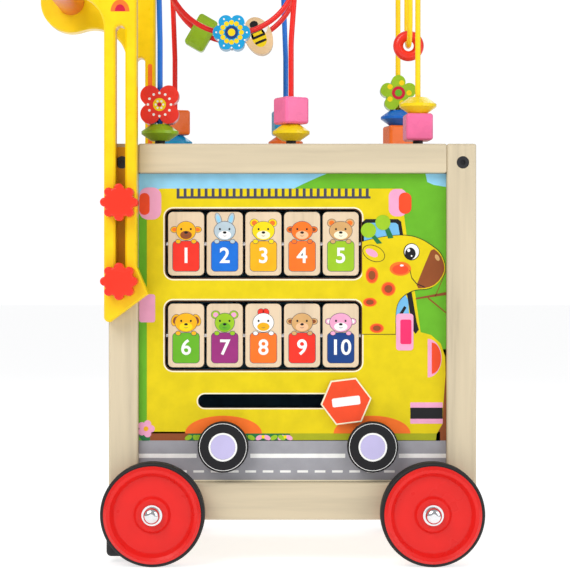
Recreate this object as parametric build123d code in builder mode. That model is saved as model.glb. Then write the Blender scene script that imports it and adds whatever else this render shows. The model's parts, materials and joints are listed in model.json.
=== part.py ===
from build123d import *
from math import cos, pi, radians, sin, tan
import os

os.makedirs("parts", exist_ok=True)

# All sizes are in millimetres. +X is the walker's front, -X the push bar's end, +Z is up,
# and -Y is the side with the number tiles. The origin is on the floor, under the middle
# of the whole walker.

# Box frame
box_length = 300.0
box_depth = 200.0
box_height = 307.0
post_size = 24.0
top_rail_height = 24.0
bottom_rail_height = 30.6
frame_edge_round = 2.0

# Panels and boards
panel_thickness = 8.0
panel_recess = 8.0
groove_depth = 4.0
top_board_thickness = 8.0
bottom_board_thickness = 6.0
bottom_board_rise = 17.0

# Frame bolts
bolt_diameter = 6.0
bolt_length = 60.0
bolt_head_diameter = 10.0
bolt_head_height = 4.0
bolt_head_sink = 0.5
bolt_socket_width = 4.0
bolt_socket_depth = 2.5
bolt_clearance = 0.1
end_rail_bolt_inset = 11.0
end_rail_bolt_top_drop = 15.4
end_rail_bolt_bottom_rise = 13.0
side_rail_bolt_top_drop = 7.0
side_rail_bolt_bottom_rise = 21.0

# Road wheels
wheel_radius = 42.0
wheel_inset = 37.3
axle_rise = 7.0
wheel_width = 26.0
wheel_gap = 4.0
rim_radius = 39.2
tyre_seat_radius = 38.0
rim_flange_width = 4.0
dish_radius = 34.0
dish_depth = 6.0
hub_radius = 13.0
hub_sink = 3.0
rim_bevel = 2.5
tyre_round = 2.2
axle_diameter = 8.0
axle_end_length = 5.5
running_clearance = 0.05
side_play = 0.3
washer_radius = 8.3
washer_thickness = 1.5
cap_radius = 6.6
cap_height = 8.0
cap_round = 4.5

# Rear feet
foot_length = 28.0
foot_depth = 26.0
foot_floor_gap = 5.0
foot_round = 4.0

# Number windows and tiles
window_side_margin = 1.8
window_top_margin = 1.85
window_round = 6.0
window_center_x = -23.8
window_rises = (225.4, 150.2)
tile_width = 29.6
tile_height = 52.3
tile_thickness = 8.0
tile_gap = 2.1
tile_corner_round = 4.0
tile_edge_round = 0.8
tiles_in_row = 5
tile_rod_diameter = 4.0
tile_rod_seat = 8.0

# Sign slot, sliding carrier and turning sign
slot_length = 127.4
slot_height = 11.3
slot_center_x = -13.7
slot_rise = 96.5
slot_end_gap = 0.5
slot_side_gap = 0.1
carrier_flange_radius = 9.0
carrier_flange_thickness = 3.0
carrier_pin_diameter = 6.0
carrier_pin_length = 3.0
sign_radius = 21.0
sign_thickness = 5.0
sign_turn = 7.0
sign_edge_round = 0.6

# Small spinning wheels on the picture panel
small_wheel_x = (-56.5, 65.2)
small_wheel_rise = 59.9
small_wheel_radius = 20.7
small_wheel_thickness = 9.0
small_wheel_edge_round = 1.2
small_hub_radius = 10.0
small_hub_thickness = 2.5
small_pin_diameter = 8.0
small_collar_radius = 7.0
small_flange_radius = 8.0
small_flange_thickness = 3.0

# Push handle
board_thickness = 18.0
board_gap = 0.3
stem_inset = 11.1
stem_width = 26.3
stem_drop = 145.3
heel_width = 5.3
toe_reach = 9.3
toe_rise = 22.6
foot_corner_round = 4.0
toe_top_rise = 44.8
neck_rise = 174.0
bar_reach = 64.1
bar_rise = 145.0
bar_diameter = 24.4
bar_tenon_diameter = 12.0
bar_tenon_length = 12.0
muzzle_radius = 28.0
jaw_angle = 15.2
jaw_round = 30.0
brow_angle = 34.6
crown_back_shift = 6.9
crown_front_shift = -21.1
ear_length = 32.0
ear_width = 15.0
ear_angle = 38.0
ear_shift = 21.9
ear_rise = 189.0
horn_shifts = (0.9, -17.1)
horn_width = 7.0
horn_ball_radius = 7.5
horn_rise = 242.0
board_edge_round = 1.5
slider_slot_width = 8.0
slider_slot_drop = 120.0
slider_slot_rise = 93.8

# Clamp knobs
knob_drops = (112.5, 49.2)
knob_bolt_diameter = 6.0
knob_bolt_seat = 16.0
knob_bolt_grip = 10.0
knob_length = 15.0
knob_core_radius = 12.0
knob_lobe_radius = 3.6
knob_lobe_count = 8
knob_reach = 15.0
knob_edge_round = 1.5

# Bead wires
wire_diameter = 4.5
wire_clearance = 0.05
ferrule_radius = 4.2
ferrule_height = 5.0
wire_row_y = 60.0
blue_wire_near_inset = 15.4
blue_wire_far_shift = 46.0
blue_arch_lean = 3.4
blue_arch_far_lean = 5.5
blue_arch_rise = 244.0
blue_arch_round = 66.0
red_wire_near_shift = 50.5
red_wire_far_inset = 21.0
yellow_wire_near_inset = 21.0
yellow_wire_far_inset = 30.5
yellow_dip_inset = 25.0
yellow_top_rise = 220.0
yellow_dip_rise = 92.0
yellow_inner_y = 22.0
upright_rise = 88.0
upright_bend_round = 150.0
bend_spare = 0.5
coil_shift = 53.5
coil_rise = 155.6
coil_radius = 56.5
coil_lane_y = 28.0
coil_corners_per_turn = 12
coil_turns = 2.5

# Beads
bead_bore = 6.5
bead_gap = 0.2
disc_bead_radius = 15.5
disc_bead_height = 13.6
disc_bead_end_radius = 7.5
disc_bead_rim = 2.4
cube_bead_size = 22.5
cube_bead_round = 2.5
flower_size = 32.0
flower_thickness = 15.0
petal_plumpness = 1.06
blue_flower_petals = 6
blue_flower_petal_radius = 6.2
ring_bead_radius = 13.3
ring_bead_bore_radius = 4.5
coil_bore_radius = 3.3
green_bead_length = 18.5
green_bead_height = 30.0
green_bead_thickness = 16.0
green_bead_round = 3.0
green_bead_facet = 3.0
green_bead_angle = -30.0
bee_bead_length = 24.0
bee_bead_height = 34.0
bee_bead_thickness = 14.0
bee_bead_angle = 23.0

# Places worked out from the sizes above; x values before box_x is added are from the box's middle
box_bottom = wheel_radius - axle_rise
box_top = box_bottom + box_height
box_middle_z = box_bottom + box_height / 2
inner_length = box_length - 2 * post_size
inner_depth = box_depth - 2 * post_size
face_y = box_depth / 2
wheel_offset = box_length / 2 - wheel_inset
stem_offset = box_length / 2 - stem_inset
bar_offset = stem_offset + bar_reach
box_x = (bar_offset + muzzle_radius - wheel_offset - wheel_radius) / 2
panel_bottom = box_bottom + bottom_rail_height
panel_top = box_top - top_rail_height
panel_middle_z = (panel_bottom + panel_top) / 2
panel_height = panel_top - panel_bottom + 2 * groove_depth
panel_front_y = -(face_y - panel_recess)
panel_back_y = panel_front_y + panel_thickness
panel_middle_y = (panel_front_y + panel_back_y) / 2
side_panel_length = inner_length + 2 * groove_depth
end_panel_length = inner_depth + 2 * groove_depth
end_panel_offset = box_length / 2 - panel_recess - panel_thickness / 2
bottom_board_z = box_bottom + bottom_board_rise
tile_pitch = tile_width + tile_gap
window_width = tiles_in_row * tile_width + (tiles_in_row - 1) * tile_gap + 2 * window_side_margin
window_height = tile_height + 2 * window_top_margin
window_center_z = [box_bottom + rise for rise in window_rises]
slot_center_z = box_bottom + slot_rise
small_wheel_z = box_bottom + small_wheel_rise
axle_z = wheel_radius
wheel_centers_x = (box_x - wheel_offset, box_x + wheel_offset)
stem_x = box_x - stem_offset
bar_x = box_x - bar_offset
bar_height = box_top + bar_rise
board_inner_y = face_y + board_gap
board_outer_y = board_inner_y + board_thickness
knob_bolt_x = stem_x
knob_heights = [box_top - drop for drop in knob_drops]
slider_slot_bottom = box_top - slider_slot_drop
slider_slot_top = box_top + slider_slot_rise
end_rail_bolt_x = box_length / 2 - end_rail_bolt_inset
end_rail_bolt_z = (box_top - end_rail_bolt_top_drop, box_bottom + end_rail_bolt_bottom_rise)
side_rail_bolt_y = (box_depth - post_size) / 2
side_rail_bolt_z = (box_top - side_rail_bolt_top_drop, box_bottom + side_rail_bolt_bottom_rise)
wire_foot_z = box_top - top_board_thickness
upright_top = box_top + upright_rise
bead_floor = box_top + ferrule_height
red_far_x = box_x - inner_length / 2 + red_wire_far_inset
coil_x = red_far_x + coil_shift
coil_center_z = box_top + coil_rise
carrier_x = box_x + slot_center_x + (slot_length - slot_height) / 2 - slot_end_gap
sign_back_y = panel_front_y - side_play
small_wheel_back_y = sign_back_y - sign_thickness - 2 * side_play
blue_near = (box_x - inner_length / 2 + blue_wire_near_inset, -wire_row_y)
blue_far = (coil_x + blue_wire_far_shift, wire_row_y)
red_near = (coil_x + red_wire_near_shift, -wire_row_y)
red_far = (red_far_x, wire_row_y)
yellow_near = (box_x + inner_length / 2 - yellow_wire_near_inset, -wire_row_y)
yellow_far = (box_x + inner_length / 2 - yellow_wire_far_inset, wire_row_y)
wire_feet = (blue_near, blue_far, red_near, red_far, yellow_near, yellow_far)


def upright_plane(y):
    """The vertical plane at this y, drawn in x and z, facing the tile side (-Y)."""
    return Plane.XZ.offset(-y)


def spin_plane(x, z):
    """The level plane through a wheel's centre: first axis the radius, second axis Y."""
    return Plane(origin=(x, 0, z), x_dir=(1, 0, 0), z_dir=(0, 0, 1))


def cut_panel_grooves():
    """Cut the grooves of all four panels out of the frame members being built."""
    with Locations((box_x, panel_middle_y, panel_middle_z), (box_x, -panel_middle_y, panel_middle_z)):
        Box(side_panel_length, panel_thickness, panel_height, mode=Mode.SUBTRACT)
    with Locations(
        (box_x - end_panel_offset, 0, panel_middle_z),
        (box_x + end_panel_offset, 0, panel_middle_z),
    ):
        Box(panel_thickness, end_panel_length, panel_height, mode=Mode.SUBTRACT)


def bolt_planes():
    """Planes at each frame bolt's head face, whose normals point out of the wood."""
    planes = []
    for side in (-1, 1):
        for end in (-1, 1):
            for z in end_rail_bolt_z:
                head = (box_x + end * end_rail_bolt_x, side * face_y, z)
                planes.append(Plane(origin=head, x_dir=(1, 0, 0), z_dir=(0, side, 0)))
            for z in side_rail_bolt_z:
                head = (box_x + end * box_length / 2, side * side_rail_bolt_y, z)
                planes.append(Plane(origin=head, x_dir=(0, 1, 0), z_dir=(end, 0, 0)))
    return planes


def cut_bolt_holes():
    """Counterbored holes for the frame bolts."""
    with Locations(*bolt_planes()):
        CounterBoreHole(
            radius=bolt_diameter / 2 + bolt_clearance,
            counter_bore_radius=bolt_head_diameter / 2 + bolt_clearance,
            counter_bore_depth=bolt_head_sink + bolt_head_height,
            depth=bolt_head_sink + bolt_head_height + bolt_length,
        )


# ---------------------------------------------------------------- box frame

with BuildPart() as frame_posts:
    with Locations((box_x, 0, box_middle_z)):
        with GridLocations(box_length - post_size, box_depth - post_size, 2, 2):
            Box(post_size, post_size, box_top - box_bottom)
    fillet(frame_posts.edges(), frame_edge_round)
    cut_panel_grooves()
    cut_bolt_holes()
    # Seats of the clamp knobs' bolts in the two rear posts
    with Locations(
        *[
            Plane(origin=(knob_bolt_x, side * face_y, z), x_dir=(1, 0, 0), z_dir=(0, side, 0))
            for side in (-1, 1)
            for z in knob_heights
        ]
    ):
        Hole(radius=knob_bolt_diameter / 2 + bolt_clearance, depth=knob_bolt_seat)
frame_posts.part.label = "frame_posts"
export_step(frame_posts.part, "parts/frame_posts.step")

with BuildPart() as top_rails:
    with Locations((box_x, 0, box_top - top_rail_height / 2)):
        with GridLocations(1, box_depth - post_size, 1, 2):
            Box(inner_length, post_size, top_rail_height)
    fillet(top_rails.edges(), frame_edge_round)
    with Locations((box_x, 0, box_top - top_rail_height / 2)):
        with GridLocations(box_length - post_size, 1, 2, 1):
            Box(post_size, inner_depth, top_rail_height)
    fillet(top_rails.edges(Select.LAST), frame_edge_round)
    cut_panel_grooves()
    cut_bolt_holes()
top_rails.part.label = "top_rails"
export_step(top_rails.part, "parts/top_rails.step")

with BuildPart() as bottom_rails:
    with Locations((box_x, 0, box_bottom + bottom_rail_height / 2)):
        with GridLocations(1, box_depth - post_size, 1, 2):
            Box(inner_length, post_size, bottom_rail_height)
    fillet(bottom_rails.edges(), frame_edge_round)
    with Locations((box_x, 0, box_bottom + bottom_rail_height / 2)):
        with GridLocations(box_length - post_size, 1, 2, 1):
            Box(post_size, inner_depth, bottom_rail_height)
    fillet(bottom_rails.edges(Select.LAST), frame_edge_round)
    cut_panel_grooves()
    cut_bolt_holes()
    # The axles pass straight through both side rails
    for x in wheel_centers_x:
        with Locations((x, 0, axle_z)):
            Cylinder(
                axle_diameter / 2 + running_clearance,
                box_depth,
                rotation=(90, 0, 0),
                mode=Mode.SUBTRACT,
            )
bottom_rails.part.label = "bottom_rails"
export_step(bottom_rails.part, "parts/bottom_rails.step")

with BuildPart() as frame_bolts:
    for head_plane in bolt_planes():
        with BuildSketch(head_plane.offset(-bolt_head_sink - bolt_head_height)):
            Circle(bolt_diameter / 2)
        extrude(amount=-(bolt_length - 1))
        with BuildSketch(head_plane.offset(-bolt_head_sink)):
            Circle(bolt_head_diameter / 2)
        extrude(amount=-bolt_head_height)
        with BuildSketch(head_plane.offset(-bolt_head_sink)):
            RegularPolygon(bolt_socket_width / 2, 6, major_radius=False)
        extrude(amount=-bolt_socket_depth, mode=Mode.SUBTRACT)
frame_bolts.part.label = "frame_bolts"
export_step(frame_bolts.part, "parts/frame_bolts.step")

# ---------------------------------------------------------------- panels and boards

with BuildPart() as activity_panel:
    with BuildSketch(upright_plane(panel_front_y)):
        with Locations((box_x, panel_middle_z)):
            Rectangle(side_panel_length, panel_height)
        with Locations(*[(box_x + window_center_x, z) for z in window_center_z]):
            RectangleRounded(window_width, window_height, window_round, mode=Mode.SUBTRACT)
        with Locations((box_x + slot_center_x, slot_center_z)):
            SlotOverall(slot_length, slot_height, mode=Mode.SUBTRACT)
        with Locations(*[(box_x + x, small_wheel_z) for x in small_wheel_x]):
            Circle(small_pin_diameter / 2 + running_clearance, mode=Mode.SUBTRACT)
    extrude(amount=-panel_thickness)
    # Seats for the ends of the tile rods, inside the panel's thickness
    for z in window_center_z:
        with Locations((box_x + window_center_x, panel_middle_y, z)):
            Cylinder(
                tile_rod_diameter / 2 + running_clearance,
                window_width + 2 * tile_rod_seat,
                rotation=(0, 90, 0),
                mode=Mode.SUBTRACT,
            )
activity_panel.part.label = "activity_panel"
export_step(activity_panel.part, "parts/activity_panel.step")

with BuildPart() as far_panel:
    with Locations((box_x, -panel_middle_y, panel_middle_z)):
        Box(side_panel_length, panel_thickness, panel_height)
far_panel.part.label = "far_panel"
export_step(far_panel.part, "parts/far_panel.step")

with BuildPart() as end_panels:
    with Locations(
        (box_x - end_panel_offset, 0, panel_middle_z),
        (box_x + end_panel_offset, 0, panel_middle_z),
    ):
        Box(panel_thickness, end_panel_length, panel_height)
end_panels.part.label = "end_panels"
export_step(end_panels.part, "parts/end_panels.step")

with BuildPart() as top_board:
    with Locations((box_x, 0, box_top - top_board_thickness / 2)):
        Box(inner_length, inner_depth, top_board_thickness)
    with Locations(*[(x, y, box_top) for x, y in wire_feet]):
        Hole(radius=wire_diameter / 2 + wire_clearance, depth=top_board_thickness)
top_board.part.label = "top_board"
export_step(top_board.part, "parts/top_board.step")

with BuildPart() as bottom_board:
    with Locations((box_x, 0, bottom_board_z + bottom_board_thickness / 2)):
        Box(inner_length, inner_depth, bottom_board_thickness)
bottom_board.part.label = "bottom_board"
export_step(bottom_board.part, "parts/bottom_board.step")

with BuildPart() as rear_feet:
    foot_x = box_x - box_length / 2 + foot_length / 2 - 2.0
    foot_height = box_bottom - foot_floor_gap
    with Locations((foot_x, 0, box_bottom - foot_height / 2)):
        with GridLocations(1, box_depth - foot_depth, 1, 2):
            Box(foot_length, foot_depth, foot_height)
    fillet(rear_feet.edges().filter_by(Axis.Z), foot_round)
    fillet(rear_feet.faces().filter_by(Axis.Z).group_by(Axis.Z)[0].edges(), foot_round)
rear_feet.part.label = "rear_feet"
export_step(rear_feet.part, "parts/rear_feet.step")

# ---------------------------------------------------------------- road wheels

wheel_inner_y = face_y + wheel_gap
wheel_outer_y = wheel_inner_y + wheel_width
wheel_middle_y = wheel_inner_y + wheel_width / 2
hub_face_y = wheel_outer_y - hub_sink
washer_y = hub_face_y + side_play
axle_end_y = washer_y + washer_thickness + axle_end_length

with BuildPart() as axles:
    for x in wheel_centers_x:
        with Locations((x, 0, axle_z)):
            Cylinder(axle_diameter / 2, 2 * axle_end_y, rotation=(90, 0, 0))
axles.part.label = "axles"
export_step(axles.part, "parts/axles.step")

with BuildPart() as axle_fasteners:
    for side in (-1, 1):
        for x in wheel_centers_x:
            with BuildSketch(spin_plane(x, axle_z)):
                bore = axle_diameter / 2 + running_clearance
                # Spacer ring between the frame and the wheel
                with BuildLine():
                    inner_end = side * face_y
                    outer_end = side * (wheel_inner_y - side_play)
                    Polyline(
                        (bore, inner_end),
                        (washer_radius, inner_end),
                        (washer_radius, outer_end),
                        (bore, outer_end),
                        close=True,
                    )
                make_face()
            revolve(axis=Axis((x, 0, axle_z), (0, 1, 0)))
            with BuildSketch(spin_plane(x, axle_z)):
                # Outer washer and domed cap, one pressed piece
                with BuildLine():
                    seat = side * washer_y
                    step = side * (washer_y + washer_thickness)
                    top = side * (washer_y + washer_thickness + cap_height)
                    shoulder = side * (washer_y + washer_thickness + cap_height - cap_round)
                    Polyline(
                        (cap_radius - cap_round, top),
                        (0, top),
                        (0, side * axle_end_y),
                        (bore, side * axle_end_y),
                        (bore, seat),
                        (washer_radius, seat),
                        (washer_radius, step),
                        (cap_radius, step),
                        (cap_radius, shoulder),
                    )
                    TangentArc(
                        (cap_radius, shoulder),
                        (cap_radius - cap_round, top),
                        tangent=(0, side),
                    )
                make_face()
            revolve(axis=Axis((x, 0, axle_z), (0, 1, 0)))
axle_fasteners.part.label = "axle_fasteners"
export_step(axle_fasteners.part, "parts/axle_fasteners.step")

wheel_places = (
    ("rear_near", wheel_centers_x[0], -1),
    ("front_near", wheel_centers_x[1], -1),
    ("rear_far", wheel_centers_x[0], 1),
    ("front_far", wheel_centers_x[1], 1),
)

for place, x, side in wheel_places:
    with BuildPart() as wheel_disc:
        with BuildSketch(spin_plane(x, axle_z)):
            with BuildLine():
                Polyline(
                    (axle_diameter / 2 + running_clearance, side * wheel_inner_y),
                    (rim_radius - 1.0, side * wheel_inner_y),
                    (rim_radius, side * (wheel_inner_y + 1.0)),
                    (rim_radius, side * (wheel_inner_y + rim_flange_width)),
                    (tyre_seat_radius, side * (wheel_inner_y + rim_flange_width)),
                    (tyre_seat_radius, side * (wheel_outer_y - rim_flange_width)),
                    (rim_radius, side * (wheel_outer_y - rim_flange_width)),
                    (rim_radius, side * (wheel_outer_y - rim_bevel)),
                    (rim_radius - rim_bevel, side * wheel_outer_y),
                    (dish_radius, side * (wheel_outer_y - 1.0)),
                    (dish_radius - 3.0, side * (wheel_outer_y - dish_depth)),
                    (hub_radius + 2.0, side * (wheel_outer_y - dish_depth)),
                    (hub_radius, side * hub_face_y),
                    (axle_diameter / 2 + running_clearance, side * hub_face_y),
                    close=True,
                )
            make_face()
        revolve(axis=Axis((x, 0, axle_z), (0, 1, 0)))
    wheel_disc.part.label = f"{place}_wheel"
    export_step(wheel_disc.part, f"parts/{place}_wheel.step")

    with BuildPart() as tyre:
        with BuildSketch(spin_plane(x, axle_z)):
            with Locations(((tyre_seat_radius + wheel_radius) / 2, side * wheel_middle_y)):
                Rectangle(wheel_radius - tyre_seat_radius, wheel_width - 2 * rim_flange_width)
        revolve(axis=Axis((x, 0, axle_z), (0, 1, 0)))
        fillet(tyre.edges().filter_by(GeomType.CIRCLE).sort_by(SortBy.RADIUS)[-2:], tyre_round)
    tyre.part.label = f"{place}_tyre"
    export_step(tyre.part, f"parts/{place}_tyre.step")

# ---------------------------------------------------------------- number tiles

with BuildPart() as tile_rods:
    for z in window_center_z:
        with Locations((box_x + window_center_x, panel_middle_y, z)):
            Cylinder(
                tile_rod_diameter / 2,
                window_width + 2 * tile_rod_seat,
                rotation=(0, 90, 0),
            )
tile_rods.part.label = "tile_rods"
export_step(tile_rods.part, "parts/tile_rods.step")

for number in range(1, 2 * tiles_in_row + 1):
    row, column = divmod(number - 1, tiles_in_row)
    tile_x = box_x + window_center_x + (column - (tiles_in_row - 1) / 2) * tile_pitch
    tile_z = window_center_z[row]
    with BuildPart() as tile:
        with BuildSketch(upright_plane(panel_middle_y)):
            with Locations((tile_x, tile_z)):
                RectangleRounded(tile_width, tile_height, tile_corner_round)
        extrude(amount=tile_thickness / 2, both=True)
        fillet(tile.faces().filter_by(Axis.Y).edges(), tile_edge_round)
        with Locations((tile_x, panel_middle_y, tile_z)):
            Cylinder(
                tile_rod_diameter / 2 + running_clearance,
                tile_width,
                rotation=(0, 90, 0),
                mode=Mode.SUBTRACT,
            )
    tile.part.label = f"number_tile_{number:02d}"
    export_step(tile.part, f"parts/number_tile_{number:02d}.step")

# ---------------------------------------------------------------- sliding and turning sign

with BuildPart() as sign_carrier:
    # The flange runs behind the panel, the neck in the slot, the pin in the sign
    flange_front = upright_plane(panel_back_y + side_play)
    with BuildSketch(flange_front):
        with Locations((carrier_x, slot_center_z)):
            Circle(carrier_flange_radius)
    extrude(amount=-carrier_flange_thickness)
    with BuildSketch(flange_front):
        with Locations((carrier_x, slot_center_z)):
            Circle(slot_height / 2 - slot_side_gap)
    extrude(amount=panel_thickness + side_play)
    with BuildSketch(upright_plane(panel_front_y)):
        with Locations((carrier_x, slot_center_z)):
            Circle(carrier_pin_diameter / 2)
    extrude(amount=side_play + carrier_pin_length)
sign_carrier.part.label = "sign_carrier"
export_step(sign_carrier.part, "parts/sign_carrier.step")

with BuildPart() as turning_sign:
    with BuildSketch(upright_plane(sign_back_y)):
        with Locations((carrier_x, slot_center_z)):
            RegularPolygon(sign_radius, 6, rotation=sign_turn)
    extrude(amount=sign_thickness)
    fillet(turning_sign.edges(), sign_edge_round)
    with BuildSketch(upright_plane(sign_back_y)):
        with Locations((carrier_x, slot_center_z)):
            Circle(carrier_pin_diameter / 2 + running_clearance)
    extrude(amount=carrier_pin_length + side_play, mode=Mode.SUBTRACT)
turning_sign.part.label = "turning_sign"
export_step(turning_sign.part, "parts/turning_sign.step")

# ---------------------------------------------------------------- small spinning wheels

small_wheel_front_y = small_wheel_back_y - small_wheel_thickness
small_hub_seat_y = small_wheel_front_y + small_hub_thickness

with BuildPart() as small_wheel_pins:
    for offset in small_wheel_x:
        x = box_x + offset
        with BuildSketch(spin_plane(x, small_wheel_z)):
            with BuildLine():
                Polyline(
                    (0, panel_back_y + small_flange_thickness),
                    (small_flange_radius, panel_back_y + small_flange_thickness),
                    (small_flange_radius, panel_back_y),
                    (small_pin_diameter / 2, panel_back_y),
                    (small_pin_diameter / 2, panel_front_y),
                    (small_collar_radius, panel_front_y),
                    (small_collar_radius, small_wheel_back_y + side_play),
                    (small_pin_diameter / 2, small_wheel_back_y + side_play),
                    (small_pin_diameter / 2, small_hub_seat_y - side_play),
                    (small_hub_radius, small_hub_seat_y - side_play),
                    (small_hub_radius, small_wheel_front_y),
                    (0, small_wheel_front_y),
                    close=True,
                )
            make_face()
        revolve(axis=Axis((x, 0, small_wheel_z), (0, 1, 0)))
small_wheel_pins.part.label = "small_wheel_pins"
export_step(small_wheel_pins.part, "parts/small_wheel_pins.step")

for place, offset in zip(("rear", "front"), small_wheel_x):
    with BuildPart() as small_wheel:
        with BuildSketch(upright_plane(small_wheel_back_y)):
            with Locations((box_x + offset, small_wheel_z)):
                Circle(small_wheel_radius)
        extrude(amount=small_wheel_thickness)
        fillet(small_wheel.edges(), small_wheel_edge_round)
        with BuildSketch(upright_plane(small_wheel_back_y)):
            with Locations((box_x + offset, small_wheel_z)):
                Circle(small_pin_diameter / 2 + running_clearance)
        extrude(amount=small_wheel_thickness, mode=Mode.SUBTRACT)
        with BuildSketch(upright_plane(small_hub_seat_y)):
            with Locations((box_x + offset, small_wheel_z)):
                Circle(small_hub_radius + side_play)
        extrude(amount=small_hub_thickness, mode=Mode.SUBTRACT)
    small_wheel.part.label = f"{place}_small_wheel"
    export_step(small_wheel.part, f"parts/{place}_small_wheel.step")

# ---------------------------------------------------------------- push handle

jaw_tangent = (
    bar_x + muzzle_radius * sin(radians(jaw_angle)),
    bar_height - muzzle_radius * cos(radians(jaw_angle)),
)
brow_tangent = (
    bar_x - muzzle_radius * sin(radians(brow_angle)),
    bar_height + muzzle_radius * cos(radians(brow_angle)),
)
stem_rear_x = stem_x - stem_width / 2
stem_front_x = stem_x + stem_width / 2
throat_z = jaw_tangent[1] + (stem_rear_x - jaw_tangent[0]) * tan(radians(jaw_angle))
stem_bottom = box_top - stem_drop
neck_top = box_top + neck_rise
crown_front_x = stem_x + crown_front_shift
crown_back_x = stem_x + crown_back_shift
horn_height = box_top + horn_rise
crown_z = brow_tangent[1] + (crown_front_x - brow_tangent[0]) * tan(radians(brow_angle))

for place, side in (("near", -1), ("far", 1)):
    with BuildPart() as handle_board:
        # Stem with its hooked foot, then the head above it
        with BuildSketch(upright_plane(side * board_inner_y)) as outline:
            with BuildLine():
                Polyline(
                    (stem_rear_x, stem_bottom),
                    (stem_rear_x + heel_width, stem_bottom),
                    (stem_front_x + toe_reach, stem_bottom + toe_rise),
                    (stem_front_x, stem_bottom + toe_top_rise),
                    (stem_front_x, neck_top),
                    (crown_back_x, crown_z),
                    (crown_front_x, crown_z),
                    brow_tangent,
                    (bar_x, bar_height),
                    jaw_tangent,
                    (stem_rear_x, throat_z),
                    close=True,
                )
            make_face()
            fillet(outline.vertices().sort_by_distance((stem_rear_x, throat_z))[0], jaw_round)
            fillet(outline.vertices().sort_by_distance((stem_rear_x, stem_bottom))[0], foot_corner_round)
            with Locations((bar_x, bar_height)):
                Circle(muzzle_radius)
            with Locations(Location((stem_x + ear_shift, box_top + ear_rise, 0), (0, 0, ear_angle))):
                Ellipse(ear_length / 2, ear_width / 2)
            for shift in horn_shifts:
                with Locations((stem_x + shift, (crown_z + horn_height) / 2)):
                    Rectangle(horn_width, horn_height - crown_z + horn_width)
                with Locations((stem_x + shift, horn_height)):
                    Circle(horn_ball_radius)
            with Locations(Location((stem_x, (slider_slot_bottom + slider_slot_top) / 2, 0), (0, 0, 90))):
                SlotOverall(slider_slot_top - slider_slot_bottom, slider_slot_width, mode=Mode.SUBTRACT)
        extrude(amount=-side * board_thickness)
        chamfer(handle_board.faces().filter_by(Axis.Y).edges(), board_edge_round)
        with BuildSketch(upright_plane(side * board_inner_y)):
            with Locations((bar_x, bar_height)):
                Circle(bar_tenon_diameter / 2 + running_clearance)
        extrude(amount=-side * bar_tenon_length, mode=Mode.SUBTRACT)
    handle_board.part.label = f"handle_board_{place}"
    export_step(handle_board.part, f"parts/handle_board_{place}.step")

with BuildPart() as push_bar:
    with Locations((bar_x, 0, bar_height)):
        Cylinder(bar_diameter / 2, 2 * board_inner_y, rotation=(90, 0, 0))
        Cylinder(bar_tenon_diameter / 2, 2 * (board_inner_y + bar_tenon_length), rotation=(90, 0, 0))
push_bar.part.label = "push_bar"
export_step(push_bar.part, "parts/push_bar.step")

# ---------------------------------------------------------------- clamp knobs and their bolts

knob_places = (
    ("lower_near", knob_heights[0], -1),
    ("upper_near", knob_heights[1], -1),
    ("lower_far", knob_heights[0], 1),
    ("upper_far", knob_heights[1], 1),
)

with BuildPart() as knob_bolts:
    for place, z, side in knob_places:
        with BuildSketch(upright_plane(side * (face_y - knob_bolt_seat))):
            with Locations((knob_bolt_x, z)):
                Circle(knob_bolt_diameter / 2)
        extrude(amount=-side * (knob_bolt_seat + board_gap + board_thickness + knob_bolt_grip))
knob_bolts.part.label = "knob_bolts"
export_step(knob_bolts.part, "parts/knob_bolts.step")

for place, z, side in knob_places:
    knob_base_y = side * (board_outer_y + side_play)
    with BuildPart() as knob:
        with BuildSketch(upright_plane(knob_base_y)):
            with Locations((knob_bolt_x, z)):
                Circle(knob_core_radius)
                with PolarLocations(knob_reach - knob_lobe_radius, knob_lobe_count):
                    Circle(knob_lobe_radius)
        extrude(amount=-side * knob_length)
        fillet(knob.faces().sort_by(Axis.Y)[0 if side < 0 else -1].edges(), knob_edge_round)
        with BuildSketch(upright_plane(knob_base_y)):
            with Locations((knob_bolt_x, z)):
                Circle(knob_bolt_diameter / 2 + running_clearance)
        extrude(amount=-side * knob_bolt_grip, mode=Mode.SUBTRACT)
    knob.part.label = f"{place}_knob"
    export_step(knob.part, f"parts/{place}_knob.step")

# ---------------------------------------------------------------- bead wires

with BuildPart() as wire_ferrules:
    for x, y in wire_feet:
        with BuildSketch(Plane.XY.offset(box_top)):
            with Locations((x, y)):
                Circle(ferrule_radius)
                Circle(wire_diameter / 2 + wire_clearance, mode=Mode.SUBTRACT)
        extrude(amount=ferrule_height)
wire_ferrules.part.label = "wire_ferrules"
export_step(wire_ferrules.part, "parts/wire_ferrules.step")


def sweep_wire(path):
    """Sweep the round wire along a path that starts at the top board's underside."""
    with BuildSketch(Plane(origin=path @ 0, z_dir=path % 0)) as section:
        Circle(wire_diameter / 2)
    sweep(sections=section.sketch, path=path)


with BuildPart() as blue_wire:
    with BuildLine() as blue_path:
        FilletPolyline(
            (*blue_near, wire_foot_z),
            (*blue_near, upright_top),
            (blue_near[0] - blue_arch_lean, blue_near[1], box_top + blue_arch_rise),
            (blue_far[0] - blue_arch_far_lean, blue_far[1], box_top + blue_arch_rise),
            (*blue_far, upright_top),
            (*blue_far, wire_foot_z),
            radius=[upright_bend_round, blue_arch_round, blue_arch_round, upright_bend_round],
        )
    sweep_wire(blue_path.line)
blue_wire.part.label = "blue_wire"
export_step(blue_wire.part, "parts/blue_wire.step")

# The coil's corners lie on a polygon round the circle, so that arcs of the coil's own
# radius touch its sides. The lanes shift sideways only over the coil's upper halves.
coil_step = 360 / coil_corners_per_turn
coil_corner_radius = coil_radius / cos(radians(coil_step / 2))
coil_bend = coil_radius - bend_spare
coil_lanes = (wire_row_y, coil_lane_y, coil_lane_y, -coil_lane_y, -coil_lane_y, -wire_row_y)


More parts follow.
